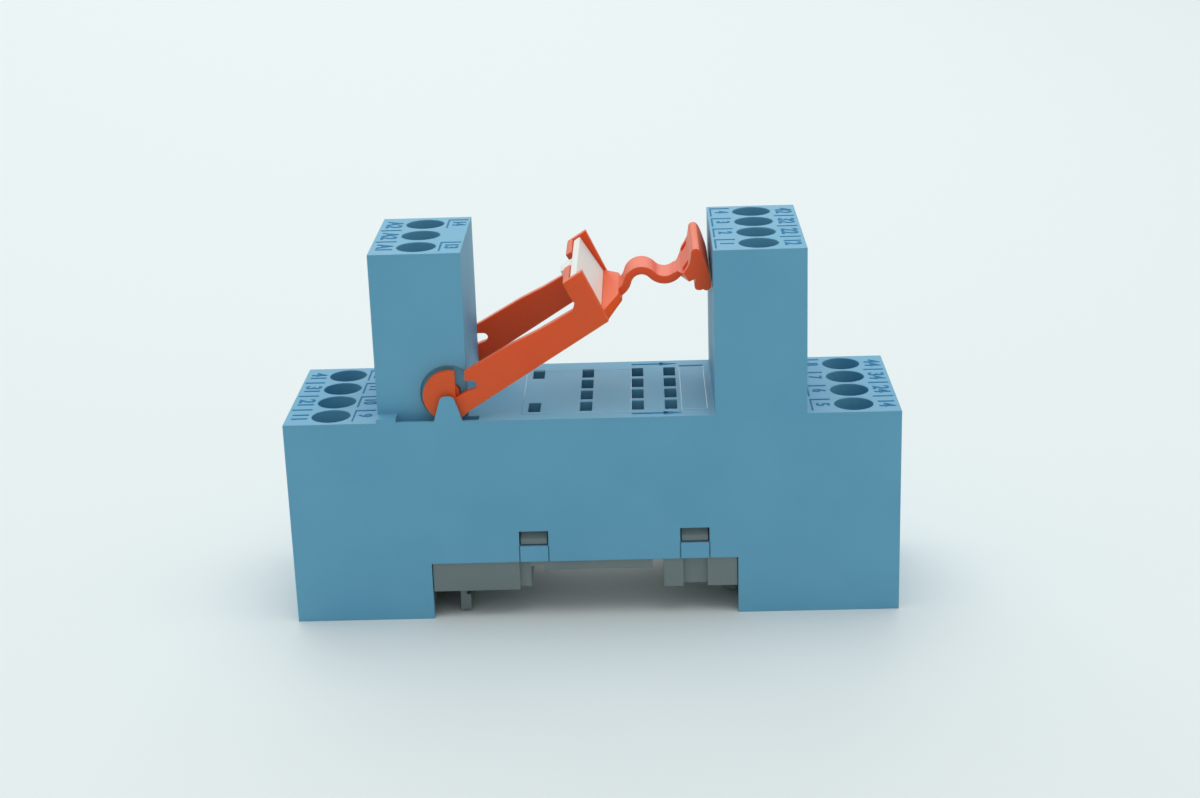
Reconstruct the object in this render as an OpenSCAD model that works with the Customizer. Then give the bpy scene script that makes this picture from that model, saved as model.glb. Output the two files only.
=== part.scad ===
// Plug-in relay socket for a 35 mm rail. Two towers stand on a long body with a relay well
// between them, each tower and terrace holds a row of screw terminals, and a hinged
// retaining clip swings over the relay. X runs along the socket, Y across it, Z up.
// The origin is at the middle of the housing's underside.

/* [Housing] */
// Length of the housing
body_l = 75; // [70:0.5:95]
// Width of the housing
body_w = 22.5; // [22:0.1:30]
// Height of the terraces and of the relay well's floor
terrace_h = 26; // [24:0.5:34]
// Height of the towers
tower_h = 46.5; // [44:0.5:60]
// Length of each terrace, from the end of the housing to its tower
terrace_l = 11.4; // [11:0.1:14]
// Length of each tower along the housing
tower_l = 11.1; // [10.8:0.1:14]
// Margin beside the left tower, where the clip's arms lie
arm_margin = 2; // [1.8:0.1:3]
// Thickness of the outer walls
wall = 1.2; // [0.9:0.1:1.4]
// Thickness of the relay well's floor
floor_t = 2; // [1.2:0.1:3]

/* [Rail slot] */
// Length of the slot for the rail
slot_l = 38; // [37:0.5:40]
// Distance of the slot's middle from the housing's middle
slot_x = -1.4; // [-2:0.1:2]
// Height of the slot
slot_h = 7.4; // [6:0.1:8]
// Height of the face that sits on the rail
seat_z = 3.6; // [3:0.1:4]
// Thickness of the rail's edge
rail_t = 1; // [0.8:0.1:1.5]

/* [Relay pins] */
// Distance of the coil pins from the housing's middle
coil_x = -7.05; // [-8:0.05:-6.5]
// Distance from the coil pins to the common pins
coil_to_com = 6.35; // [6:0.05:7]
// Distance from the common pins to the normally open pins
com_to_no = 6.35; // [6:0.05:7]
// Distance from the normally open to the normally closed pins
no_to_nc = 4.1; // [4:0.05:4.5]
// Distance between neighbouring poles
pole_pitch = 4.4; // [4.3:0.05:4.8]
// Size of a pin's slot along the housing
pin_slot_l = 1.5; // [1:0.1:2]
// Size of a pin's slot across the housing
pin_slot_w = 3.5; // [2.8:0.1:3.6]

/* [Terminals] */
// Diameter of a terminal's screwdriver well
well_d = 4.8; // [4.6:0.1:5]
// Distance between the terminals in a row of four
port_pitch = 5.4; // [5.2:0.1:6]
// Distance between the coil terminals in the left tower
coil_port_pitch = 5.8; // [5.6:0.1:6.2]
// Distance of the terrace terminals from the end of the housing
port_inset = 5.5; // [5.4:0.1:6]
// Diameter of a screw's head
head_d = 4.2; // [4:0.1:4.3]
// Height of a screw's head
head_h = 2.4; // [2:0.1:3]
// Diameter of a screw's shank
screw_d = 2.8; // [2.5:0.1:3]
// Length of a screw's shank
screw_l = 8.3; // [7:0.1:9]
// Depth of a loosened screw's head below the top
head_depth = 6; // [5:0.1:7]
// Thickness of the clamping plate
plate_t = 0.9; // [0.6:0.1:1.2]
// Travel of the screw and its plate
clamp_travel = 2.5; // [1.5:0.1:2.6]
// Side of a wire entry
entry_side = 3.8; // [3:0.1:3.9]

/* [Contacts] */
// Thickness of the contact strip
strip_t = 0.6; // [0.4:0.1:0.8]
// Width of the contact strip
strip_w = 3; // [2.4:0.1:3.2]
// Thickness of a fork's spring leaf
leaf_t = 0.4; // [0.3:0.05:0.5]
// Gap between the leaves where they grip a pin
grip_gap = 0.3; // [0.2:0.05:0.5]

/* [Clip] */
// Angle of the clip's arms above the floor as it leans at rest
lean = 32.3; // [28:0.1:36]
// Distance of the clip's pivot from the left tower's inner face
pivot_inset = 2.2; // [2:0.1:2.5]
// Height of the clip's pivot above the floor
pivot_rise = 3; // [2.8:0.1:3.4]
// Thickness of the clip's arms
arm_t = 1; // [0.8:0.1:1.1]
// Radius of the disc round the clip's pivot
disc_r = 3.1; // [2.8:0.1:3.2]
// Diameter of the clip's pivot pegs
peg_d = 2.6; // [2:0.1:3]
// Width of the clip's tongue
tongue_w = 5.4; // [4:0.1:7]
// Thickness of the clip's tongue
tongue_t = 0.95; // [0.8:0.05:1.1]
// Width of the clip's finger plate
finger_w = 13.8; // [10:0.1:15]
// Thickness of the marker tag
tag_t = 0.9; // [0.7:0.1:1]

/* [Rail latch] */
// Travel of the rail latch
latch_travel = 3; // [2:0.1:3]
// Thickness of the rail latch's hook
hook_t = 1.3; // [1:0.1:1.5]
// Width of the rail latch's tongue
latch_w = 10; // [8:0.5:12]

/* [Clearances] */
// Gap between mouldings that fit together
fit = 0.15; // [0.1:0.05:0.2]
// Radial gap round a pivot peg or a screw
run = 0.08; // [0.05:0.01:0.1]

/* [Hidden] */
$fn = 48;
eps = 0.5; // how far a cut runs past the face that it opens

POLES = 4;
COIL_PORTS = 3;
PLACES = [1, 2, 3, 4];

BLUE = [0.36, 0.60, 0.74];
GREY = [0.45, 0.49, 0.49];
ORANGE = [0.90, 0.36, 0.16];
WHITE = [0.93, 0.93, 0.91];
BRASS = [0.80, 0.66, 0.36];
STEEL = [0.72, 0.74, 0.76];

half_l = body_l / 2;
half_w = body_w / 2;
tower_in = half_l - terrace_l - tower_l; // inner face of each tower
tower_out = half_l - terrace_l; // outer face of each tower
tower_mid = (tower_in + tower_out) / 2;
clip_tower_w = body_w - 2 * arm_margin; // the left tower is narrower than the housing
slot_a = slot_x - slot_l / 2;
slot_b = slot_x + slot_l / 2;

com_x = coil_x + coil_to_com;
no_x = com_x + com_to_no;
nc_x = no_x + no_to_nc;
port_x = half_l - port_inset;
function pole_y(i) = (i - (POLES - 1) / 2) * pole_pitch;
function port_y(i) = (i - (POLES - 1) / 2) * port_pitch;
function coil_y(i) = (i - (COIL_PORTS - 1) / 2) * coil_port_pitch;

cell_w = well_d; // a terminal's chamber is as wide as its well
lane_w = pin_slot_w + 0.1; // the lane that holds a contact below the floor
chamber_top = head_depth + head_h - 0.3; // depths below the top of a terminal
plate_top = head_depth + head_h;
strip_top = plate_top + plate_t + clamp_travel + 0.2;
entry_mid = (plate_top + plate_t + strip_top) / 2;
low_strip_z = terrace_h - strip_top; // top of the strips that run to the terraces
high_strip_z = tower_h - strip_top; // top of the tabs in the towers
upper_run_z = low_strip_z + 3; // top of the strips that run to the towers
leg_x = tower_in + wall + 0.5; // upright part of the strips in the towers

lid_z = 0.6;
base_t = 1.6;
base_top = slot_h + base_t;
window_w = 3.6;
window_h = 2;
window_z = slot_h + 2.05;
window_xs = [slot_x - 6.2, slot_x + 13.7];

pivot_x = -tower_in - pivot_inset;
pivot_z = terrace_h + pivot_rise;
arm_out = half_w - 0.75; // outer face of the clip's arms
arm_in = arm_out - arm_t;
lug_t = 0.55;
lug_h = 3.2;
pocket_t = 0.3; // the disc lies in a shallow pocket in the tower's side

// ---------------------------------------------------------------- shapes

// Box given by its low and high corners
module block(a, b) {
    translate(a) cube(b - a);
}

// Outline in X and Z, made as thick as w and centred on y
module profile_xz(w, y = 0) {
    translate([0, y + w / 2, 0]) rotate([90, 0, 0]) linear_extrude(w) children();
}

// The same shape again, mirrored across the housing
module both_sides() {
    children();
    mirror([0, 1, 0]) children();
}

// Points along a chain of tangent arcs: each bend is [radius, turn in degrees], left is positive
function bend_end(p, a, r, t) =
    let (s = sign(t))
    p + r * s * [sin(a + t) - sin(a), cos(a) - cos(a + t)];
function bend_points(p, a, r, t, side, n = 10) =
    [for (k = [0:n]) bend_end(p, a, r, t * k / n) + side * [-sin(a + t * k / n), cos(a + t * k / n)]];
function chain(p, a, bends, side, i = 0) =
    i == len(bends) ? [] :
    concat(
        bend_points(p, a, bends[i][0], bends[i][1], side),
        chain(bend_end(p, a, bends[i][0], bends[i][1]), a + bends[i][1], bends, side, i + 1)
    );
function reversed(list) = [for (i = [len(list) - 1:-1:0]) list[i]];
function chain_end(p, a, bends, i = 0) =
    i == len(bends) ? [p[0], p[1], a] :
    chain_end(bend_end(p, a, bends[i][0], bends[i][1]), a + bends[i][1], bends, i + 1);

// ---------------------------------------------------------------- housing

// Cut for one terminal: well, chamber with its clamping space, and wire entry.
// side is -1 for the left half and 1 for the right one
module terminal_cut(side, x, y, top, face, bottom) {
    translate([side * x, y, top - chamber_top - eps]) cylinder(d = well_d, h = chamber_top + 2 * eps);
    chamber_l = face - wall - x;
    translate([side * x, y, 0]) mirror([side < 0 ? 1 : 0, 0, 0]) {
        block([-2.9, -cell_w / 2, bottom], [chamber_l, cell_w / 2, top - chamber_top]);
        entry_z = top - entry_mid;
        block([0, -entry_side / 2, entry_z - entry_side / 2], [face - x + eps, entry_side / 2, entry_z + entry_side / 2]);
        lip = entry_side / 2 + 0.4;
        block([face - x - 0.5, -lip, entry_z - lip], [face - x + eps, lip, entry_z + lip]);
    }
}

// Lane below the floor that holds one contact strip, from its pins to its terminals
module lane_cut(side, from_x, pole, port) {
    jog_a = tower_in - 3.2;
    jog_b = tower_in - 0.2;
    end = half_l - wall;
    translate([0, 0, -eps]) linear_extrude(terrace_h - chamber_top + eps)
        polygon([
            [from_x, pole - lane_w / 2], [side * jog_a, pole - lane_w / 2],
            [side * jog_b, port - cell_w / 2], [side * end, port - cell_w / 2],
            [side * end, port + cell_w / 2], [side * jog_b, port + cell_w / 2],
            [side * jog_a, pole + lane_w / 2], [from_x, pole + lane_w / 2]
        ]);
}

// Slot in the floor for one relay pin, with room for the fork below it
module pin_cut(x, y) {
    block(
        [x - pin_slot_l / 2, y - pin_slot_w / 2, terrace_h - floor_t - eps],
        [x + pin_slot_l / 2, y + pin_slot_w / 2, terrace_h + eps]
    );
    block([x - 1.75, y - lane_w / 2, 10], [x + 1.75, y + lane_w / 2, terrace_h - floor_t]);
}

// Lug that keeps an arm of the clip on its pivot
module lug() {
    base = 3.5;
    tip = 1.9;
    round_r = 0.7;
    profile_xz(lug_t, -half_w + lug_t / 2)
        translate([pivot_x - 0.15, terrace_h])
            polygon(concat(
                [[-base / 2, -1], [base / 2, -1], [base / 2, 0]],
                [for (a = [20:14:90]) [tip / 2 - round_r + round_r * cos(a), lug_h - round_r + round_r * sin(a)]],
                [for (a = [90:14:160]) [round_r - tip / 2 + round_r * cos(a), lug_h - round_r + round_r * sin(a)]],
                [[-base / 2, 0]]
            ));
}

// Cuts in one side of the left tower and its terrace for the clip's arm and pivot
module clip_cut() {
    block([pivot_x - 6.5, -half_w + lug_t, terrace_h - 0.8], [pivot_x + 3.5, -clip_tower_w / 2, terrace_h + eps]);
    translate([pivot_x, -clip_tower_w / 2 + pocket_t, pivot_z]) rotate([90, 0, 0]) cylinder(r = disc_r + 0.4, h = pocket_t + eps);
    translate([pivot_x, -clip_tower_w / 2 + pocket_t + 0.9, pivot_z]) rotate([90, 0, 0]) cylinder(d = peg_d + 2 * run, h = 3);
}

// Windows for the base plate's hooks, with the sprung strap marked off below each
module window_cut(x) {
    block([x - window_w / 2, -half_w - eps, window_z], [x + window_w / 2, -half_w + wall + eps, window_z + window_h]);
    // room for the hook's shank behind the wall
    block([x - window_w / 2, -half_w + wall, slot_h], [x + window_w / 2, -half_w + wall + 1.3, window_z + window_h + fit]);
    for (s = [-1, 1])
        block([x + s * window_w / 2 - 0.08, -half_w - eps, slot_h - eps], [x + s * window_w / 2 + 0.08, -half_w + 0.25, window_z + 0.1]);
}

module housing() {
    color(BLUE) difference() {
        union() {
            block([-half_l, -half_w, 0], [half_l, half_w, terrace_h]);
            block([tower_in, -half_w, terrace_h - 1], [tower_out, half_w, tower_h]);
            block([-tower_out, -clip_tower_w / 2, terrace_h - 1], [-tower_in, clip_tower_w / 2, tower_h]);
            both_sides() {
                lug();
                block([-tower_out, -half_w, terrace_h - 1], [pivot_x - 6.5, -clip_tower_w / 2 + eps, terrace_h + 0.5]);
            }
        }
        block([slot_a, -half_w - eps, -eps], [slot_b, half_w + eps, slot_h]);
        // room for the base plate and its two lids
        block([slot_a - wall - fit, -half_w + wall, -eps], [slot_b + wall + fit, half_w - wall, base_top + fit]);
        block([-half_l + wall, -half_w + wall, -eps], [half_l - wall, half_w - wall, lid_z + base_t]);
        for (i = [0:POLES - 1]) {
            lane_cut(-1, com_x + 2, pole_y(i), port_y(i));
            lane_cut(1, no_x - 2, pole_y(i), port_y(i));
            pin_cut(com_x, pole_y(i));
            pin_cut(no_x, pole_y(i));
            pin_cut(nc_x, pole_y(i));
            terminal_cut(-1, port_x, port_y(i), terrace_h, half_l, 10);
            terminal_cut(1, port_x, port_y(i), terrace_h, half_l, 10);
            terminal_cut(1, tower_mid, port_y(i), tower_h, tower_out, 10);
            block([tower_in + wall, port_y(i) - cell_w / 2, 10], [tower_mid, port_y(i) + cell_w / 2, high_strip_z + 0.4]);
        }
        for (i = [0, POLES - 1]) pin_cut(coil_x, pole_y(i));
        for (i = [0:COIL_PORTS - 1]) terminal_cut(-1, tower_mid, coil_y(i), tower_h, tower_out, high_strip_z - 1);
        // shafts for the upright coil strips: one for the first terminal, one for the other two
        coil_shaft(0, 0);
        coil_shaft(1, 2);
        both_sides() {
            clip_cut();
            coil_run_cut();
            for (x = window_xs) window_cut(x);
        }
    }
}

// Passage from an outer lane to the shaft of a coil strip
module coil_run_cut() {
    gap = 0.3;
    block([-tower_in - wall - gap, -pole_y(POLES - 1) - strip_w / 2 - gap, 10],
        [-tower_in + 3.4, -coil_y(COIL_PORTS - 1) + strip_w / 2 + gap, terrace_h - chamber_top]);
}

// Shaft in the left tower from the lanes up to the tabs of terminals a to b
module coil_shaft(a, b) {
    inner = clip_tower_w / 2 - pocket_t - 0.9 - 0.35;
    y0 = max(coil_y(a) - cell_w / 2, -inner);
    y1 = min(coil_y(b) + cell_w / 2, inner);
    block([-tower_out + wall, y0, 10], [-tower_in - wall, y1, high_strip_z + 0.4]);
}

// ---------------------------------------------------------------- base plate and rail latch

// Hook that snaps into a window of the housing
module snap_hook(x) {
    w = window_w - 2 * fit;
    root = half_w - wall - fit;
    translate([x - w / 2, 0, 0]) rotate([90, 0, 90]) linear_extrude(w)
        polygon([
            [-root, slot_h], [-root, window_z + fit], [-root - 1, window_z + fit],
            [-root - 1, window_z + 0.8], [-root, window_z + window_h], [-root + 0.9, window_z + window_h], [-root + 0.9, slot_h]
        ]);
}

module base_plate() {
    inner = half_w - wall - fit;
    face = half_w - 0.2; // the feet stand almost flush with the housing
    a = slot_a + 0.1;
    b = slot_b - 0.1;
    color(GREY) difference() {
        union() {
            block([slot_a - wall, -inner, slot_h - 0.6], [slot_b + wall, inner, base_top]);
            for (s = [[slot_a - wall, slot_a - 0.1], [slot_b + 0.1, slot_b + wall]])
                block([s[0], -inner, lid_z], [s[1], inner, base_top - 0.1]);
            block([-half_l + wall + fit, -inner, lid_z], [slot_a - 0.1, inner, lid_z + base_t - fit]);
            block([slot_b + 0.1, -inner, lid_z], [half_l - wall - fit, inner, lid_z + base_t - fit]);
            // feet that sit on the rail's edges, with the hooks' roots set back between them
            block([a, -face, seat_z], [window_xs[0] - window_w / 2 - 0.1, face, slot_h]);
            block([window_xs[0] - window_w / 2 - 0.2, 0.5 - face, seat_z + 0.25], [window_xs[0] - 0.5, face - 0.5, slot_h]);
            block([window_xs[1] - window_w / 2 - 2.1, -face, seat_z], [window_xs[1] - 1.5, face, slot_h]);
            block([window_xs[1] - 1.6, 0.5 - face, seat_z + 0.25], [window_xs[1] + 1.6, face - 0.5, slot_h]);
            block([window_xs[1] + 1.5, -face, seat_z], [b, face, slot_h]);
            both_sides() {
                // rim of the middle span, with a notch at each end
                block([window_xs[0] - 0.6, -face, slot_h - 0.65], [window_xs[1] - 5.3, -face + 1.2, slot_h]);
                block([window_xs[0] + 1.2, -face, slot_h - 1.2], [window_xs[1] - 5.3, -face + 1.2, slot_h]);
                for (x = window_xs) snap_hook(x);
            }
            for (i = [0:POLES - 1])
                for (x = [com_x, no_x])
                    block([x - 0.9, pole_y(i) - 1.3, base_top - 0.2], [x + 0.9, pole_y(i) + 1.3, low_strip_z - strip_t - 0.1]);
            fixed_hook();
        }
        latch_channel();
    }
}

// Fixed hook that takes the rail's right edge
module fixed_hook() {
    lip = 1.6;
    profile_xz(12)
        polygon([
            [slot_b - 0.1, lid_z], [slot_b - 0.1, slot_h], [slot_b - 0.8, slot_h],
            [slot_b - 0.8, seat_z - rail_t - 0.2], [slot_b - 0.8 - lip, seat_z - rail_t - 0.2],
            [slot_b - 0.8 - lip, seat_z - rail_t - 1.1], [slot_b - 0.8, lid_z]
        ]);
}

latch_a = slot_a + latch_travel + 0.2; // left face of the latch's hook at rest
latch_top = slot_h - 0.9;

// Channel in the left foot where the latch's tongue slides
module latch_channel() {
    end = latch_a + 6.4;
    block([slot_a - 0.2, -latch_w / 2 - fit, seat_z - eps], [end + fit, latch_w / 2 + fit, latch_top + fit]);
    block([slot_a - 0.2, -latch_w / 2 - 0.8, seat_z + 0.9], [end + fit, latch_w / 2 + 0.8, seat_z + 1.9 + 2 * fit]);
}

// Sliding latch with a grooved hook for the rail's left edge
module rail_latch() {
    tongue_l = 6.2;
    low = 0.3;
    groove = 0.5;
    color(GREY) difference() {
        union() {
            block([latch_a, -half_w + 1.9, low], [latch_a + hook_t, half_w - 1.9, seat_z - fit]);
            block([latch_a, -latch_w / 2, seat_z - 2 * fit], [latch_a + tongue_l, latch_w / 2, latch_top]);
            block([latch_a, -latch_w / 2 - 0.65, seat_z + 0.9 + fit], [latch_a + tongue_l, latch_w / 2 + 0.65, seat_z + 1.9]);
        }
        block([latch_a + hook_t - groove, -half_w, seat_z - rail_t - 0.2], [latch_a + hook_t + eps, half_w, seat_z]);
        block([latch_a + hook_t, -half_w, seat_z - 1], [latch_a + tongue_l + eps, half_w, seat_z + 0.02]);
    }
}

// ---------------------------------------------------------------- contacts and terminals

// Spring fork that grips one relay pin, standing on a strip whose top is at z
module fork(x, y, z) {
    top = terrace_h - floor_t - 0.4;
    grip_z = top - 2.2;
    near = grip_gap / 2;
    foot = 1.1;
    for (s = [-1, 1])
        translate([x, y, 0]) profile_xz(strip_w)
            polygon([
                [s * foot, z - 0.1], [s * (near + leaf_t), grip_z], [s * (foot + 0.1), top],
                [s * (foot + 0.1 - leaf_t), top], [s * near, grip_z], [s * (foot - leaf_t), z - 0.1]
            ]);
    block([x - foot, y - strip_w / 2, z - strip_t], [x + foot, y + strip_w / 2, z]);
}

// Flat strip below the floor, from a pole's lane to a terminal's
module strip_run(x0, y0, x1, y1, z, side) {
    jog_a = side * (tower_in - 3);
    jog_b = side * tower_in;
    w = strip_w / 2;
    translate([0, 0, z - strip_t]) linear_extrude(strip_t)
        polygon([[x0, y0 - w], [jog_a, y0 - w], [jog_b, y1 - w], [x1, y1 - w], [x1, y1 + w], [jog_b, y1 + w], [jog_a, y0 + w], [x0, y0 + w]]);
}

// Tab with the tapped hole for a terminal's screw
module tab(x, y, z, w = 4) {
    block([x - 2.6, y - w / 2, z - strip_t], [x + 2.6, y + w / 2, z]);
}

module tap_hole(x, y, z) {
    translate([x, y, z - strip_t - 1]) cylinder(d = screw_d + 2 * run, h = strip_t + 2);
}

// Contact whose terminal is on a terrace
module terrace_contact(side, pin_x, i) {
    color(BRASS) difference() {
        union() {
            fork(pin_x, pole_y(i), low_strip_z);
            strip_run(pin_x, pole_y(i), side * (port_x - 2), port_y(i), low_strip_z, side);
            tab(side * port_x, port_y(i), low_strip_z);
        }
        tap_hole(side * port_x, port_y(i), low_strip_z);
    }
}

// Contact whose terminals, at the given places across, are in a tower
module tower_contact(side, pin_x, pole, ports) {
    x0 = min(side * leg_x, side * (leg_x + strip_t));
    color(BRASS) difference() {
        union() {
            fork(pin_x, pole, upper_run_z);
            strip_run(pin_x, pole, side * (leg_x + strip_t), ports[0], upper_run_z, side);
            block([x0, ports[0] - strip_w / 2, upper_run_z - strip_t], [x0 + strip_t, ports[0] + strip_w / 2, high_strip_z]);
            for (y = ports) tab(side * tower_mid, y, high_strip_z);
            if (len(ports) > 1)
                block([-tower_mid - 2.6, min(ports), high_strip_z - strip_t], [-tower_mid + 2.6, max(ports), high_strip_z]);
            block([min(side * leg_x, side * tower_mid), ports[0] - strip_w / 2, high_strip_z - strip_t],
                [max(side * leg_x, side * tower_mid), ports[0] + strip_w / 2, high_strip_z]);
        }
        for (y = ports) tap_hole(side * tower_mid, y, high_strip_z);
    }
}

module com_contact(i) { terrace_contact(-1, com_x, i); }
module no_contact(i) { terrace_contact(1, no_x, i); }
module nc_contact(i) { tower_contact(1, nc_x, pole_y(i), [port_y(i)]); }
module coil_contact_a1() { tower_contact(-1, coil_x, pole_y(0), [coil_y(0)]); }
module coil_contact_a2() { tower_contact(-1, coil_x, pole_y(POLES - 1), [coil_y(2), coil_y(1)]); }

// Terminal screw with a crossed and slotted head, loosened
module screw(x, y, top) {
    slot_w = 0.7;
    slot_d = 1.2;
    color(STEEL) translate([x, y, top - head_depth - head_h]) difference() {
        union() {
            cylinder(d = head_d, h = head_h);
            translate([0, 0, -screw_l]) cylinder(d = screw_d, h = screw_l + 0.1);
        }
        for (a = [0, 90]) rotate([0, 0, a])
            block([-head_d / 2 - eps, -slot_w / 2, head_h - slot_d], [head_d / 2 + eps, slot_w / 2, head_h + eps]);
    }
}

// Clamping plate that hangs under a screw's head, with its two turned-down edges
module plate(x, y, top) {
    w = 4.3;
    l = 4.6;
    color(STEEL) translate([x, y, top - plate_top - plate_t]) difference() {
        union() {
            block([-l / 2, -w / 2, 0], [l / 2, w / 2, plate_t - 0.02]);
        }
        translate([0, 0, -1]) cylinder(d = screw_d + 2 * run, h = plate_t + 2);
        for (s = [-1, 1])
            translate([s * l / 4 + s * 0.55, 0, 0]) rotate([90, 0, 0]) cylinder(r = 0.25, h = w + 1, center = true);
    }
}

// ---------------------------------------------------------------- clip and tag

// The clip is drawn along its arms: u runs from the pivot along the arm, v square to it
arm_v = -2.95; // lower edge of the arms
panel_v = 3.94; // top of the marker holder
reach = (2 * tower_in + pivot_inset - 32.2) / cos(lean); // how much a longer well lengthens the arms
panel_u = 19.4 + reach;
tongue_start = [23.34 + reach, -2.47];
tongue_bends = [[2.1, 44], [1.77, -123.5], [2.12, 92]];
tongue_end = chain_end(tongue_start, 0, tongue_bends);
tag_u = panel_u + 0.9;

module place_clip() {
    translate([pivot_x, 0, pivot_z]) rotate([0, -lean, 0]) children();
}

module arm_outline() {
    circle(r = disc_r);
    polygon([
        [0, arm_v], [panel_u + 2, arm_v], [panel_u + 2.8, panel_v], [panel_u + 0.05, panel_v],
        [panel_u - 0.15, 2.06], [panel_u - 0.15, 1.1], [panel_u - 0.8, 0.55],
        [13.5, 0.8], [10.3, 1.15], [3.4, 1.45], [0, 1.45]
    ]);
}

// The cut that parts the disc from the arm's upper prong and lets the disc spring.
// Its edges are square to the housing when the clip leans at rest
module prong_cut() {
    end = [2.93, 1.35];
    r = 0.58;
    rotate(-lean) {
        translate(end) circle(r = r);
        polygon([
            [0.85, -0.3], [2.16, 0.46], [end[0], end[1] - r], [end[0], end[1] + r],
            [2.06, end[1] + r], [2.06, 5], [0.85, 5]
        ]);
    }
}

// Walls of the marker holder between the arms, seen from the arms' side
module holder_outline() {
    polygon([
        [panel_u, arm_v], [tongue_start[0], arm_v], [tongue_start[0] + 0.02, tongue_start[1] + tongue_t / 2],
        [panel_u + 1.9, arm_v + 1.25], [panel_u, arm_v + 1.25]
    ]);
}

module tongue_outline() {
    polygon(concat(
        chain(tongue_start, 0, tongue_bends, tongue_t / 2),
        reversed(chain(tongue_start, 0, tongue_bends, -tongue_t / 2))
    ));
}

// Finger plate at the end of the tongue, with the hook below it that catches the relay
module finger_outline() {
    u = tongue_end[0];
    v = tongue_end[1];
    translate([u, v]) polygon([
        [-0.2, 0.35], [0.79, 0.43], [1.22, 0.59], [2.01, 0.97], [2.6, 1.3], [3.0, 1.75], [3.3, 2.1], [3.5, 2.35],
        [3.85, 2.5], [4.2, 2.4], [4.46, 2.1], [4.52, 1.6], [4.4, 0.87], [3.9, -1.1], [3.5, -2.0], [3.15, -2.55],
        [2.75, -2.75], [2.35, -2.6], [2.2, -2.3], [1.85, -2.2], [1.5, -1.95], [1.42, -1.6], [1.6, -1.25],
        [1.95, -1.0], [2.2, -0.7], [0.85, -0.5], [0.55, -0.4], [-0.05, -0.45]
    ]);
}

// Two scoops in the finger plate's root, one near each end
module finger_scoop() {
    translate([tongue_end[0] + 1.75, finger_w / 2 - 2.1, tongue_end[1] + 0.55]) rotate([0, -35, 0])
        block([-0.55, -1, 0], [0.75, 1, 1.6]);
}

module retaining_clip() {
    inner_w = 2 * arm_in;
    color(ORANGE) place_clip() {
        difference() {
            union() {
                both_sides() {
                    profile_xz(arm_t, -arm_in - arm_t / 2) difference() {
                        arm_outline();
                        prong_cut();
                    }
                    // pivot peg, and the hub round it on the arm's outer face
                    translate([0, -clip_tower_w / 2 + pocket_t + 0.75, 0]) rotate([90, 0, 0])
                        cylinder(d = peg_d, h = arm_in - clip_tower_w / 2 + pocket_t + 0.75 + 0.1);
                    // lip that backs the marker tag
                    block([panel_u, -arm_in - 0.1, 1.0], [panel_u + 0.8, -3.2, panel_v]);
                }
                // cross plate below the tag, narrowing to the tongue
                intersection() {
                    profile_xz(inner_w + 0.2) holder_outline();
                    translate([0, 0, arm_v - 1]) linear_extrude(4)
                        polygon([
                            [panel_u - 1, -arm_in - 0.1], [panel_u + 2, -arm_in - 0.1],
                            [tongue_start[0] + 1, -tongue_w / 2], [tongue_start[0] + 1, tongue_w / 2],
                            [panel_u + 2, arm_in + 0.1], [panel_u - 1, arm_in + 0.1]
                        ]);
                }
                profile_xz(tongue_w) tongue_outline();
                intersection() {
                    profile_xz(finger_w) finger_outline();
                    translate([0, 0, tongue_end[1] - 4]) linear_extrude(8)
                        polygon([
                            [tongue_end[0] - 1, -tongue_w / 2], [tongue_end[0] + 0.3, -tongue_w / 2],
                            [tongue_end[0] + 1.3, -finger_w / 2], [tongue_end[0] + 6, -finger_w / 2],
                            [tongue_end[0] + 6, finger_w / 2], [tongue_end[0] + 1.3, finger_w / 2],
                            [tongue_end[0] + 0.3, tongue_w / 2], [tongue_end[0] - 1, tongue_w / 2]
                        ]);
                }
            }
            both_sides() finger_scoop();
        }
    }
}

// Blank marker tag with the small pull tab that shows between the lips
module marker_tag() {
    w = 2 * arm_in - 2 * fit;
    low = arm_v + 1.25 + 0.05;
    color(WHITE) place_clip() {
        block([tag_u, -w / 2, low], [tag_u + tag_t, w / 2, panel_v - 0.2]);
        block([panel_u - 0.9, -1.6, 2.9], [tag_u + 0.1, 1.6, 3.5]);
    }
}

// ---------------------------------------------------------------- the part

housing();
base_plate();
rail_latch();
retaining_clip();
marker_tag();
coil_contact_a1();
coil_contact_a2();
for (i = [0:POLES - 1]) {
    com_contact(i);
    no_contact(i);
    nc_contact(i);
    screw(-port_x, port_y(i), terrace_h);
    plate(-port_x, port_y(i), terrace_h);
    screw(port_x, port_y(i), terrace_h);
    plate(port_x, port_y(i), terrace_h);
    screw(tower_mid, port_y(i), tower_h);
    plate(tower_mid, port_y(i), tower_h);
}
for (i = [0:COIL_PORTS - 1]) {
    screw(-tower_mid, coil_y(i), tower_h);
    plate(-tower_mid, coil_y(i), tower_h);
}
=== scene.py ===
"""Looks of a plug-in relay socket: a moulded housing, its base plate and rail latch, the
retaining clip with its marker tag, and the contacts, screws and clamping plates."""

from __future__ import annotations

import logging
import math
from dataclasses import dataclass, field
from enum import Enum

import bmesh
import bpy
from mathutils import Matrix, Vector


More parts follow.
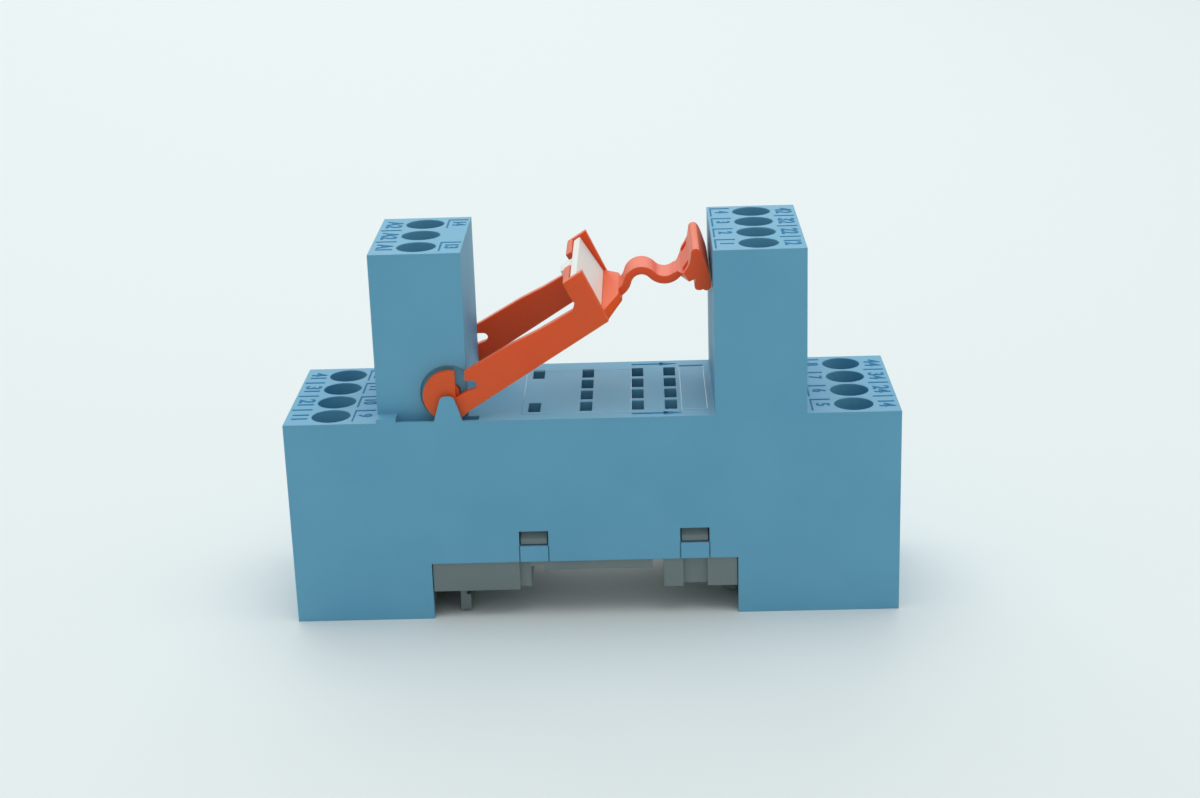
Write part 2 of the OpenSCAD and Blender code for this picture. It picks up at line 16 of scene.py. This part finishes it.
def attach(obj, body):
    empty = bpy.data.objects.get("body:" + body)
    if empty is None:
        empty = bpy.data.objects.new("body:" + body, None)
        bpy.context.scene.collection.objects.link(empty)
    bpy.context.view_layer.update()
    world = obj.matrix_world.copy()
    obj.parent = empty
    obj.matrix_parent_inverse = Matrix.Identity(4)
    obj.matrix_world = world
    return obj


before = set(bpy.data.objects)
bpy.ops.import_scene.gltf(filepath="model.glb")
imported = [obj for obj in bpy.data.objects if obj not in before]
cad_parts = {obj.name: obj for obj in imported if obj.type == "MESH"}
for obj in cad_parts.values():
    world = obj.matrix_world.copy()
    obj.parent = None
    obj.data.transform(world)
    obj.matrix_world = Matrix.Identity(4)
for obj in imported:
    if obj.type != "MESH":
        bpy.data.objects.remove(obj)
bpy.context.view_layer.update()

MM = 0.001
LOG = logging.getLogger("relay_socket")

Colour = tuple[float, float, float]


def srgb(red: int, green: int, blue: int) -> Colour:
    """Gives the linear colour of an 8-bit screen colour.

    Args:
        red: Red from 0 to 255.
        green: Green from 0 to 255.
        blue: Blue from 0 to 255.

    Returns:
        The three linear values.
    """
    out = []
    for value in (red, green, blue):
        v = value / 255
        out.append(v / 12.92 if v <= 0.04045 else ((v + 0.055) / 1.055) ** 2.4)
    return tuple(out)


# ------------------------------------------------------------------ node groups


class NodeTree:
    """Short hand for building one node tree."""

    def __init__(self, tree: bpy.types.NodeTree) -> None:
        """Keeps the tree to build in."""
        self.tree = tree

    def add(self, kind: str, **settings: object) -> bpy.types.Node:
        """Adds a node and sets its properties.

        Args:
            kind: The node's type, without its ShaderNode prefix.
            settings: Properties of the node.

        Returns:
            The new node.
        """
        name = kind if kind.startswith("NodeGroup") else "ShaderNode" + kind
        node = self.tree.nodes.new(name)
        for key, value in settings.items():
            setattr(node, key, value)
        return node

    def link(self, source: bpy.types.NodeSocket, target: bpy.types.NodeSocket) -> None:
        """Joins one output to one input."""
        self.tree.links.new(source, target)

    def maths(self, operation: str, *values: object, clamp: bool = False) -> bpy.types.NodeSocket:
        """Adds a Math node.

        Args:
            operation: The operation's name.
            values: Numbers or outputs, one for each input.
            clamp: Whether the result is held between 0 and 1.

        Returns:
            The node's output.
        """
        node = self.add("Math", operation=operation, use_clamp=clamp)
        for k, value in enumerate(values):
            if isinstance(value, bpy.types.NodeSocket):
                self.link(value, node.inputs[k])
            else:
                node.inputs[k].default_value = value
        return node.outputs[0]

    def ramp(self, value: bpy.types.NodeSocket, low: float, high: float,
             to_low: float = 0.0, to_high: float = 1.0) -> bpy.types.NodeSocket:
        """Maps a value from one range onto another, smoothly and within its ends.

        Args:
            value: The output to map.
            low: Start of the range that it comes from.
            high: End of the range that it comes from.
            to_low: What the start becomes.
            to_high: What the end becomes.

        Returns:
            The mapped output.
        """
        node = self.add("MapRange", interpolation_type="SMOOTHSTEP", clamp=True)
        self.link(value, node.inputs["Value"])
        node.inputs["From Min"].default_value = low
        node.inputs["From Max"].default_value = high
        node.inputs["To Min"].default_value = to_low
        node.inputs["To Max"].default_value = to_high
        return node.outputs[0]

    def mix(self, factor: object, one: object, other: object) -> bpy.types.NodeSocket:
        """Mixes two colours.

        Args:
            factor: A number or an output, 0 for the first colour and 1 for the second.
            one: The first colour, or an output.
            other: The second colour, or an output.

        Returns:
            The mixed colour.
        """
        node = self.add("Mix", data_type="RGBA")
        for socket, value in ((node.inputs[0], factor), (node.inputs[6], one), (node.inputs[7], other)):
            if isinstance(value, bpy.types.NodeSocket):
                self.link(value, socket)
            elif isinstance(value, tuple):
                socket.default_value = (*value, 1)
            else:
                socket.default_value = value
        return node.outputs[2]


class SharedGroup:
    """A shader node group that is built once and placed in several materials."""

    title = "group"
    inputs: tuple[tuple[str, str, object], ...] = ()
    outputs: tuple[tuple[str, str], ...] = ()

    def __init__(self) -> None:
        """Makes the group with its sockets and fills it."""
        self.tree = bpy.data.node_groups.new(self.title, "ShaderNodeTree")
        for name, kind, value in self.inputs:
            socket = self.tree.interface.new_socket(name, in_out="INPUT", socket_type=kind)
            if value is not None:
                socket.default_value = value
        for name, kind in self.outputs:
            self.tree.interface.new_socket(name, in_out="OUTPUT", socket_type=kind)
        nodes = NodeTree(self.tree)
        self.fill(nodes, nodes.add("NodeGroupInput").outputs, nodes.add("NodeGroupOutput").inputs)

    def fill(self, nodes: NodeTree, given: object, result: object) -> None:
        """Builds the group's inside; each group has its own."""

    def place(self, nodes: NodeTree, **values: object) -> bpy.types.Node:
        """Places the group in a material's tree.

        Args:
            nodes: The material's tree.
            values: Input values, with _ for a space in the input's name.

        Returns:
            The group's node.
        """
        node = nodes.add("Group")
        node.node_tree = self.tree
        for key, value in values.items():
            socket = node.inputs[key.replace("_", " ")]
            if isinstance(value, bpy.types.NodeSocket):
                nodes.link(value, socket)
            elif isinstance(value, tuple):
                socket.default_value = (*value, 1)
            else:
                socket.default_value = value
        return node


class EdgeRound(SharedGroup):
    """Rounded look and a mask of the edges, from how the surface turns nearby; mouldings use the mask to lay
    a painted highlight on their edges.
    """

    title = "edge_round"
    inputs = (("Radius", "NodeSocketFloat", 0.0002), ("Reach", "NodeSocketFloat", 0.12))
    outputs = (("Normal", "NodeSocketVector"), ("Edge", "NodeSocketFloat"))

    def fill(self, nodes: NodeTree, given: object, result: object) -> None:
        """Builds the rounding from the Bevel node's normal."""
        bevel = nodes.add("Bevel", samples=4)
        nodes.link(given["Radius"], bevel.inputs["Radius"])
        flat = nodes.add("NewGeometry").outputs["Normal"]
        turned = nodes.add("VectorMath", operation="DOT_PRODUCT")
        nodes.link(bevel.outputs[0], turned.inputs[0])
        nodes.link(flat, turned.inputs[1])
        off = nodes.maths("SUBTRACT", 1.0, turned.outputs["Value"], clamp=True)
        edge = nodes.maths("DIVIDE", off, given["Reach"], clamp=True)
        nodes.link(bevel.outputs[0], result["Normal"])
        nodes.link(edge, result["Edge"])


class MouldGrain(SharedGroup):
    """Fine texture of a moulding: height and a slow drift of tone."""

    title = "mould_grain"
    inputs = (("Grain", "NodeSocketFloat", 2600.0), ("Drift", "NodeSocketFloat", 90.0))
    outputs = (("Height", "NodeSocketFloat"), ("Tone", "NodeSocketFloat"))

    def fill(self, nodes: NodeTree, given: object, result: object) -> None:
        """Builds the grain and the drift from two noises."""
        place = nodes.add("TexCoord").outputs["Object"]
        fine = nodes.add("TexNoise")
        fine.inputs["Detail"].default_value = 3.0
        fine.inputs["Roughness"].default_value = 0.6
        slow = nodes.add("TexNoise")
        slow.inputs["Detail"].default_value = 2.0
        for noise, scale in ((fine, "Grain"), (slow, "Drift")):
            nodes.link(place, noise.inputs["Vector"])
            nodes.link(given[scale], noise.inputs["Scale"])
        nodes.link(fine.outputs["Fac"], result["Height"])
        nodes.link(nodes.ramp(slow.outputs["Fac"], 0.3, 0.7), result["Tone"])


class Scratches(SharedGroup):
    """Thin streaks that a part gets from handling, as a mask."""

    title = "scratches"
    inputs = (("Scale", "NodeSocketFloat", 220.0), ("Amount", "NodeSocketFloat", 0.5))
    outputs = (("Mask", "NodeSocketFloat"),)

    def fill(self, nodes: NodeTree, given: object, result: object) -> None:
        """Builds the streaks from a stretched noise broken up by another."""
        place = nodes.add("TexCoord").outputs["Object"]
        stretch = nodes.add("Mapping")
        stretch.inputs["Rotation"].default_value = (0.3, 0.5, 0.7)
        stretch.inputs["Scale"].default_value = (1.0, 14.0, 1.0)
        nodes.link(place, stretch.inputs["Vector"])
        streak = nodes.add("TexNoise")
        nodes.link(stretch.outputs[0], streak.inputs["Vector"])
        nodes.link(given["Scale"], streak.inputs["Scale"])
        patch = nodes.add("TexNoise")
        patch.inputs["Scale"].default_value = 140.0
        nodes.link(place, patch.inputs["Vector"])
        thin = nodes.ramp(streak.outputs["Fac"], 0.62, 0.72)
        some = nodes.ramp(patch.outputs["Fac"], 0.52, 0.68)
        both = nodes.maths("MULTIPLY", thin, some)
        nodes.link(nodes.maths("MULTIPLY", both, given["Amount"], clamp=True), result["Mask"])


class WellPolish(SharedGroup):
    """Mask of the faces round the relay well, which a polished core moulds."""

    title = "well_polish"
    inputs = (("Half length", "NodeSocketFloat", 0.015), ("Floor", "NodeSocketFloat", 0.026))
    outputs = (("Mask", "NodeSocketFloat"),)

    def fill(self, nodes: NodeTree, given: object, result: object) -> None:
        """Builds the mask from the place along the socket and above it."""
        split = nodes.add("SeparateXYZ")
        nodes.link(nodes.add("TexCoord").outputs["Object"], split.inputs[0])
        along = nodes.maths("ABSOLUTE", split.outputs["X"])
        inside = nodes.maths("LESS_THAN", along, given["Half length"])
        above = nodes.maths("GREATER_THAN", split.outputs["Z"], given["Floor"])
        nodes.link(nodes.maths("MULTIPLY", inside, above), result["Mask"])


class Groups:
    """The shared groups, built once."""

    def __init__(self) -> None:
        """Builds each group."""
        self.edge = EdgeRound()
        self.grain = MouldGrain()
        self.scratches = Scratches()
        self.polish = WellPolish()


# ------------------------------------------------------------------ finishes


@dataclass(frozen=True)
class Moulding:
    """Finish of a moulded plastic."""

    name: str
    colour: Colour
    # pale: the colour of the random tone drift, and also of the painted highlight on the edges
    pale: Colour
    roughness: float = 0.5
    drift: float = 0.12
    grain: float = 2600.0
    bump: float = 0.00002
    # edge: strength of the painted highlight laid on the edges
    edge: float = 0.35
    radius: float = 0.0002
    specular: float = 0.5
    polished: float = 0.0
    subsurface: float = 0.0

    def build(self, groups: Groups) -> bpy.types.Material:
        """Makes the material.

        Args:
            groups: The shared node groups.

        Returns:
            The material.
        """
        mat = bpy.data.materials.new(self.name)
        mat.use_nodes = True
        nodes = NodeTree(mat.node_tree)
        shader = mat.node_tree.nodes["Principled BSDF"]
        shader.inputs["Specular IOR Level"].default_value = self.specular
        shader.inputs["Subsurface Weight"].default_value = self.subsurface
        shader.inputs["Subsurface Scale"].default_value = 0.002
        edge = groups.edge.place(nodes, Radius=self.radius)
        grain = groups.grain.place(nodes, Grain=self.grain)
        marks = groups.scratches.place(nodes, Amount=0.6)
        toned = nodes.mix(nodes.maths("MULTIPLY", grain.outputs["Tone"], self.drift), self.colour, self.pale)
        # painted highlight: edges are mixed towards the pale colour, standing in for light caught on rounded
        # edges
        lit = nodes.mix(nodes.maths("MULTIPLY", edge.outputs["Edge"], self.edge), toned, self.pale)
        nodes.link(lit, shader.inputs["Base Color"])
        rough = nodes.ramp(grain.outputs["Tone"], 0.0, 1.0, self.roughness - 0.04, self.roughness + 0.04)
        height = grain.outputs["Height"]
        if self.polished:
            well = groups.polish.place(nodes)
            mask = well.outputs["Mask"]
            mixed = nodes.add("Mix", data_type="FLOAT")
            nodes.link(mask, mixed.inputs[0])
            nodes.link(rough, mixed.inputs[2])
            mixed.inputs[3].default_value = self.polished
            rough = mixed.outputs[0]
            height = nodes.maths("MULTIPLY", height, nodes.maths("SUBTRACT", 1.0, mask))
            nodes.link(nodes.ramp(mask, 0.0, 1.0, self.specular, 1.0), shader.inputs["Specular IOR Level"])
        rough = nodes.maths("ADD", rough, nodes.maths("MULTIPLY", marks.outputs["Mask"], 0.12), clamp=True)
        nodes.link(rough, shader.inputs["Roughness"])
        bump = nodes.add("Bump")
        bump.inputs["Strength"].default_value = 1.0
        bump.inputs["Distance"].default_value = self.bump
        nodes.link(height, bump.inputs["Height"])
        nodes.link(edge.outputs["Normal"], bump.inputs["Normal"])
        nodes.link(bump.outputs[0], shader.inputs["Normal"])
        return mat


@dataclass(frozen=True)
class PlatedMetal:
    """Finish of a stamped or turned metal piece."""

    name: str
    colour: Colour
    dull: Colour
    roughness: float = 0.3

    def build(self, groups: Groups) -> bpy.types.Material:
        """Makes the material.

        Args:
            groups: The shared node groups.

        Returns:
            The material.
        """
        mat = bpy.data.materials.new(self.name)
        mat.use_nodes = True
        nodes = NodeTree(mat.node_tree)
        shader = mat.node_tree.nodes["Principled BSDF"]
        shader.inputs["Metallic"].default_value = 1.0
        edge = groups.edge.place(nodes, Radius=0.00012)
        grain = groups.grain.place(nodes, Grain=1500.0, Drift=400.0)
        marks = groups.scratches.place(nodes, Scale=500.0, Amount=1.0)
        nodes.link(nodes.mix(grain.outputs["Tone"], self.colour, self.dull), shader.inputs["Base Color"])
        rough = nodes.ramp(grain.outputs["Tone"], 0.0, 1.0, self.roughness, self.roughness + 0.12)
        rough = nodes.maths("ADD", rough, nodes.maths("MULTIPLY", marks.outputs["Mask"], 0.2), clamp=True)
        nodes.link(rough, shader.inputs["Roughness"])
        bump = nodes.add("Bump")
        bump.inputs["Distance"].default_value = 0.00001
        nodes.link(grain.outputs["Height"], bump.inputs["Height"])
        nodes.link(edge.outputs["Normal"], bump.inputs["Normal"])
        nodes.link(bump.outputs[0], shader.inputs["Normal"])
        return mat


BLUE = Moulding("blue_plastic", colour=srgb(100, 165, 196), pale=srgb(148, 208, 228), roughness=0.52,
                specular=0.32,
                drift=0.10, polished=0.07, bump=0.000016)
# painted shade: the raised numbers and floor marks are the housing's own blue; this darker blue stands in
# for the shade along their sides
PAINTED_SHADE_MARKS = Moulding("blue_marks_painted_shade", colour=srgb(44, 130, 176), pale=srgb(72, 154, 196), roughness=0.7, drift=0.05,
                 edge=0.1, specular=0.15)
GREY = Moulding("grey_plastic", colour=srgb(112, 124, 124), pale=srgb(150, 160, 160), roughness=0.45,
                drift=0.15)
ORANGE = Moulding("orange_plastic", colour=srgb(232, 86, 26), pale=srgb(245, 128, 70), roughness=0.42,
                  drift=0.12, bump=0.000008, radius=0.00015, specular=0.4, subsurface=0.5)
WHITE = Moulding("white_plastic", colour=srgb(236, 236, 230), pale=srgb(250, 250, 246), roughness=0.4,
                 bump=0.000006)
BRASS = PlatedMetal("contact_brass", colour=srgb(214, 178, 104), dull=srgb(176, 142, 82), roughness=0.32)
STEEL = PlatedMetal("plated_steel", colour=srgb(200, 204, 206), dull=srgb(150, 154, 158), roughness=0.28)


# ------------------------------------------------------------------ studio


@dataclass
class Studio:
    """Floor, lamps and camera round the socket."""

    aim: tuple[float, float, float] = (1.15, -11.25, 28.45)
    distance: float = 243.9
    azimuth: float = -1.43
    elevation: float = 18.50
    roll: float = -1.86
    focal: float = 2024.0
    picture_w: int = 1200
    floor_size: float = 6.0
    sky: Colour = field(default_factory=lambda: srgb(229, 237, 238))

    def camera(self) -> None:
        """Makes the camera."""
        data = bpy.data.cameras.new("camera")
        data.sensor_fit = "HORIZONTAL"
        data.sensor_width = 36.0
        data.lens = self.focal * data.sensor_width / self.picture_w
        data.clip_start = 0.01
        cam = bpy.data.objects.new("camera", data)
        bpy.context.scene.collection.objects.link(cam)
        az, el, roll = (math.radians(a) for a in (self.azimuth, self.elevation, self.roll))
        ahead = Vector((math.sin(az) * math.cos(el), math.cos(az) * math.cos(el), -math.sin(el)))
        right = Vector((math.cos(az), -math.sin(az), 0))
        up = right.cross(ahead)
        across = right * math.cos(roll) + up * math.sin(roll)
        above = up * math.cos(roll) - right * math.sin(roll)
        place = Vector(self.aim) * MM - ahead * self.distance * MM
        turn = Matrix((across, above, -ahead)).transposed().to_4x4()
        cam.matrix_world = Matrix.Translation(place) @ turn
        bpy.context.scene.camera = cam

    def lamp(self, name: str, place: tuple[float, float, float], at: tuple[float, float, float],
             size: tuple[float, float], watts: float, colour: Colour = (1, 1, 1)) -> None:
        """Adds one soft rectangular lamp.

        Args:
            name: Its name.
            place: Where it is, in metres.
            at: The point that it faces.
            size: Its width and height.
            watts: Its power.
            colour: Its colour.
        """
        data = bpy.data.lights.new(name, "AREA")
        data.shape = "RECTANGLE"
        data.size, data.size_y = size
        data.energy = watts
        data.color = colour
        lamp = bpy.data.objects.new(name, data)
        bpy.context.scene.collection.objects.link(lamp)
        look = (Vector(at) - Vector(place)).normalized()
        lamp.matrix_world = Matrix.Translation(place) @ look.to_track_quat("-Z", "Y").to_matrix().to_4x4()

    def floor(self) -> None:
        """Lays the pale plain floor."""
        mesh = bpy.data.meshes.new("floor")
        shape = bmesh.new()
        bmesh.ops.create_grid(shape, x_segments=1, y_segments=1, size=self.floor_size / 2)
        shape.to_mesh(mesh)
        shape.free()
        floor = bpy.data.objects.new("floor", mesh)
        bpy.context.scene.collection.objects.link(floor)
        mat = bpy.data.materials.new("floor_paper")
        mat.use_nodes = True
        shader = mat.node_tree.nodes["Principled BSDF"]
        shader.inputs["Base Color"].default_value = (*srgb(229, 235, 235), 1)
        shader.inputs["Roughness"].default_value = 0.75
        mesh.materials.append(mat)

    def build(self) -> None:
        """Sets the whole studio up."""
        scene = bpy.context.scene
        scene.view_settings.view_transform = "Standard"
        world = bpy.data.worlds.new("sky")
        world.use_nodes = True
        ground = world.node_tree.nodes["Background"]
        ground.inputs["Color"].default_value = (*self.sky, 1)
        ground.inputs["Strength"].default_value = 0.63
        scene.world = world
        self.floor()
        self.lamp("top_lamp", (0.05, 0.05, 0.9), (0, 0, 0), (1.2, 0.9), 4.9)
        self.lamp("back_lamp", (-0.2, 1.1, 0.55), (0, 0, 0.02), (1.4, 0.7), 3.7)
        self.camera()


# ------------------------------------------------------------------ the socket


class Body(Enum):
    """The body that the raised marks ride on."""

    SOCKET = "socket"


@dataclass
class CadNodes:
    """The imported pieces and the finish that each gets."""

    finishes: dict[str, str] = field(default_factory=lambda: {
        "housing": "blue_plastic", "base_plate": "grey_plastic", "rail_latch": "grey_plastic",
        "retaining_clip": "orange_plastic", "marker_tag": "white_plastic",
    })

    def finish_of(self, node: str) -> str:
        """Gives the finish of one node by its name."""
        if "contact" in node:
            return "contact_brass"
        return self.finishes.get(node, "plated_steel")

    def dress(self, materials: dict[str, bpy.types.Material]) -> None:
        """Puts each node's material on it.

        Args:
            materials: The materials by name.
        """
        for name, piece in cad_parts.items():
            mat = materials[self.finish_of(name)]
            for k in range(len(piece.material_slots)):
                piece.material_slots[k].material = mat
            LOG.info("%s: %s", name, mat.name)


class Relief:
    """Low raised marks on one level face, gathered into one mesh."""

    def __init__(self, name: str, level: float, height: float = 0.04) -> None:
        """Starts an empty piece.

        Args:
            name: The piece's name.
            level: Height of the face that it stands on, in millimetres.
            height: How far the marks stand up, in millimetres.
        """
        self.name = name
        self.level = level
        self.height = height
        self.shape = bmesh.new()

    def bar(self, low: tuple[float, float], high: tuple[float, float]) -> None:
        """Adds a straight bar between two corners in plan."""
        middle = ((low[0] + high[0]) / 2, (low[1] + high[1]) / 2, self.level + self.height / 2)
        size = (high[0] - low[0], high[1] - low[1], self.height)
        place = Matrix.Translation(middle) @ Matrix.Diagonal((*size, 1))
        bmesh.ops.create_cube(self.shape, size=1.0, matrix=place)

    def outline(self, low: tuple[float, float], high: tuple[float, float], line: float) -> None:
        """Adds a rectangle's outline.

        Args:
            low: Its low corner.
            high: Its high corner.
            line: Width of the line.
        """
        self.bar(low, (high[0], low[1] + line))
        self.bar((low[0], high[1] - line), high)
        self.bar((low[0], low[1] + line), (low[0] + line, high[1] - line))
        self.bar((high[0] - line, low[1] + line), (high[0], high[1] - line))

    def arrow(self, tail: float, tip: float, y: float, head: tuple[float, float] = (2.2, 0.6)) -> None:
        """Adds an arrow that points along the socket.

        Args:
            tail: Where it starts.
            tip: Where it ends.
            y: Its place across the socket.
            head: Length and half width of its head.
        """
        shaft = 0.2
        self.bar((tail, y - shaft), (tip - head[0] * 0.8, y + shaft))
        middle = Matrix.Translation((tip - head[0] * 2 / 3, y, self.level + self.height / 2))
        stretch = Matrix.Diagonal((head[0] * 2 / 3, head[1] / math.cos(math.radians(30)), 1, 1))
        turn = Matrix.Rotation(math.radians(-90), 4, "Z")
        bmesh.ops.create_cone(self.shape, cap_ends=True, segments=3, radius1=1.0, radius2=1.0,
                              depth=self.height, matrix=middle @ stretch @ turn)

    def text(self, words: str, middle: tuple[float, float], size: float = 2.1) -> None:
        """Adds characters that read from the back to the front, with their tops to the right.

        Args:
            words: The characters.
            middle: Where their middle lies.
            size: Size of the characters.
        """
        curve = bpy.data.curves.new("characters", "FONT")
        curve.body = words
        curve.size = size
        curve.extrude = self.height / 2
        curve.align_x = "CENTER"
        curve.align_y = "CENTER"
        curve.offset = 0.05
        curve.resolution_u = 3
        holder = bpy.data.objects.new("characters", curve)
        bpy.context.scene.collection.objects.link(holder)
        bpy.context.view_layer.update()
        mesh = bpy.data.meshes.new_from_object(holder.evaluated_get(bpy.context.evaluated_depsgraph_get()))
        turn = Matrix.Rotation(math.radians(-90), 4, "Z")
        mesh.transform(Matrix.Translation((*middle, self.level + self.height / 2)) @ turn)
        self.shape.from_mesh(mesh)
        bpy.data.objects.remove(holder)
        bpy.data.curves.remove(curve)
        bpy.data.meshes.remove(mesh)

    def finish(self, mat: bpy.types.Material) -> None:
        """Makes the piece, which rides on the socket.

        Args:
            mat: Its material.
        """
        bmesh.ops.scale(self.shape, vec=(MM, MM, MM), verts=self.shape.verts)
        mesh = bpy.data.meshes.new(self.name)
        self.shape.to_mesh(mesh)
        self.shape.free()
        mesh.materials.append(mat)
        piece = bpy.data.objects.new(self.name, mesh)
        bpy.context.scene.collection.objects.link(piece)
        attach(piece, Body.SOCKET.value)
        LOG.info("%s: %d faces", self.name, len(mesh.polygons))


@dataclass(frozen=True)
class NumberColumn:
    """A column of terminal numbers that runs across the socket."""

    numbers: tuple[str, ...]
    x: float
    rows: tuple[float, ...]
    boxed: bool = False
    half_l: float = 1.25
    half_w: float = 2.1
    # bar_w and side_w: widths of the two painted shade strokes of a box
    bar_w: float = 0.35
    side_w: float = 0.2
    line_w: float = 0.34

    def draw(self, relief: Relief) -> None:
        """Draws the numbers, each with a dark L of painted shade where the walls of its recessed box are in
        shadow, or parted from the next by a line.

        Args:
            relief: The marks to add them to.
        """
        left, right = self.x - self.half_l, self.x + self.half_l
        inset, size = (0.15, 2.3) if self.boxed else (0.0, 2.8)
        for number, y in zip(self.numbers, self.rows):
            relief.text(number, (self.x + inset, y), size)
            # painted shade: only the two box walls that lie in shadow are drawn, as dark bars
            if self.boxed:
                under = y + self.half_w - self.bar_w
                relief.bar((left, under), (right, y + self.half_w))
                relief.bar((left, y - self.half_w), (left + self.side_w, under))
        if not self.boxed:
            for one, other in zip(self.rows, self.rows[1:]):
                middle = (one + other) / 2
                relief.bar((left, middle - self.line_w / 2), (right, middle + self.line_w / 2))


@dataclass
class HousingMarks:
    """Terminal numbers on the towers and terraces, and the marks on the well's floor, in a darker blue that
    is painted shade.
    """

    tower_level: float = 46.5
    terrace_level: float = 26.0
    row_of_four: tuple[float, ...] = (-8.1, -2.7, 2.7, 8.1)
    coil_rows: tuple[float, ...] = (-5.8, 0.0, 5.8)

    def numbers(self, mat: bpy.types.Material) -> None:
        """Makes the numbers on the four tops.

        Args:
            mat: Their material.
        """
        four = self.row_of_four
        tops = (
            ("left_terrace_marks", self.terrace_level, (
                NumberColumn(("11", "21", "31", "41"), -35.95, four),
                NumberColumn(("9", "10", "11", "12"), -28.0, four, True))),
            ("left_tower_marks", self.tower_level, (
                NumberColumn(("A1", "A2", "A2"), -24.5, self.coil_rows),
                NumberColumn(("13", "14"), -16.5, (self.coil_rows[0], self.coil_rows[2]), True))),
            ("right_tower_marks", self.tower_level, (
                NumberColumn(("1", "2", "3", "4"), 16.55, four, True),
                NumberColumn(("12", "22", "32", "42"), 24.5, four))),
            ("right_terrace_marks", self.terrace_level, (
                NumberColumn(("5", "6", "7", "8"), 28.0, four, True),
                NumberColumn(("14", "24", "34", "44"), 35.9, four))),
        )
        for name, level, columns in tops:
            relief = Relief(name, level)
            for column in columns:
                column.draw(relief)
            relief.finish(mat)

    def well_floor(self, mat: bpy.types.Material) -> None:
        """Makes the arrows and a bar along one long side of the field on the well's floor.

        Args:
            mat: Their material.
        """
        marks = Relief("well_floor_marks", self.terrace_level)
        # painted shade: the arrows and the bar along one long side of the field are drawn in the darker blue
        marks.arrow(4.9, 11.0, -9.8)
        marks.arrow(4.9, 10.7, 9.9)
        marks.bar((11.0, 8.7), (14.2, 9.1))
        marks.finish(mat)

    def well_frame(self, mat: bpy.types.Material) -> None:
        """Makes the thin lines of the frame and the field.

        Args:
            mat: Their material.
        """
        lines = Relief("well_frame_lines", self.terrace_level, 0.02)
        lines.outline((-8.6, -9.2), (4.9, 8.0), 0.08)
        lines.outline((11.0, -8.6), (14.2, 8.7), 0.1)
        lines.finish(mat)


def main() -> None:
    """Builds the scene and reports each piece."""
    logging.basicConfig(level=logging.INFO, format="%(name)s: %(message)s")
    groups = Groups()
    materials = {f.name: f.build(groups) for f in (BLUE, PAINTED_SHADE_MARKS, GREY, ORANGE, WHITE, BRASS, STEEL)}
    Studio().build()
    CadNodes().dress(materials)
    marks = HousingMarks()
    marks.numbers(materials[PAINTED_SHADE_MARKS.name])
    marks.well_floor(materials[PAINTED_SHADE_MARKS.name])
    marks.well_frame(materials[BLUE.name])


if __name__ == "__main__":
    main()
